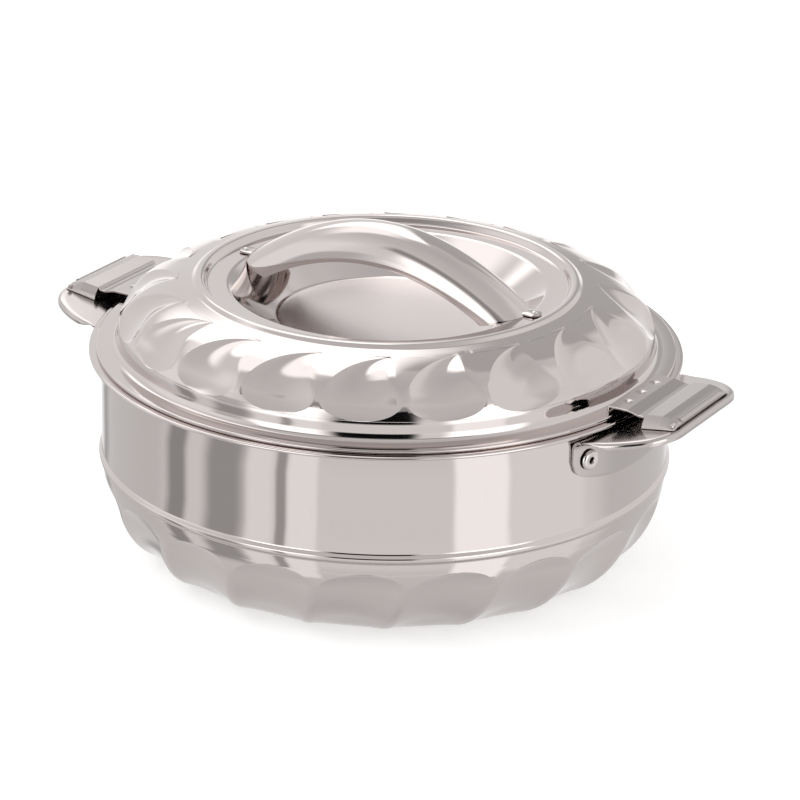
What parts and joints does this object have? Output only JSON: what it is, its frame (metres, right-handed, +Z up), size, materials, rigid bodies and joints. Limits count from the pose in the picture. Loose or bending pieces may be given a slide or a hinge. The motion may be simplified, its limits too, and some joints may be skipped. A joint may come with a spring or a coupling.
{
  "type": "insulated casserole",
  "caption": "Round insulated steel casserole with a swirl-scooped lift-off lid, an arch lid handle, side handles and a flip latch on each.",
  "frame": {"origin": "on the standing surface, under the middle of the bowl", "axes": "+Z up; +X towards the right handle, along the line through both side handles and the lid's arch handle"},
  "size_m": [0.323, 0.27, 0.1523],
  "materials": {
    "polished_steel": "polished",
    "handle_steel": "gloss",
    "latch_steel": "satin",
    "fastener_steel": "satin",
    "foam": "matte",
    "plug": "matte"
  },
  "bodies": {
    "base": {"outer_shell": "polished_steel", "inner_bowl": "polished_steel", "body_insulation": "foam", "fill_hole_plug": "plug", "handle_right": "handle_steel", "handle_left": "handle_steel", "latch_pin_right": "fastener_steel", "latch_pin_left": "fastener_steel", "handle_rivet_right_front": "fastener_steel", "handle_rivet_right_back": "fastener_steel", "handle_rivet_left_back": "fastener_steel", "handle_rivet_left_front": "fastener_steel", "rivet_washer_right_front": "fastener_steel", "rivet_washer_right_back": "fastener_steel", "rivet_washer_left_back": "fastener_steel", "rivet_washer_left_front": "fastener_steel"},
    "lid": {"lid_outer": "polished_steel", "lid_inner": "polished_steel", "lid_insulation": "foam", "lid_handle": "polished_steel", "lid_handle_rivet_left": "fastener_steel", "lid_handle_rivet_right": "fastener_steel"},
    "latch_right": {"latch_right": "latch_steel"},
    "latch_left": {"latch_left": "latch_steel"}
  },
  "joints": [
    {"name": "lid_lift", "type": "slide", "parent": "base", "child": "lid", "axis": [0, 0, 1], "range_m": [0, 0.08]},
    {"name": "latch_right_flip", "type": "hinge", "parent": "base", "child": "latch_right", "pos_m": [0.1571, 0, 0.09823], "axis": [0, 1, 0], "range_deg": [0, 110]},
    {"name": "latch_left_flip", "type": "hinge", "parent": "base", "child": "latch_left", "pos_m": [-0.1571, 0, 0.09823], "axis": [0, -1, 0], "range_deg": [0, 110]}
  ]
}
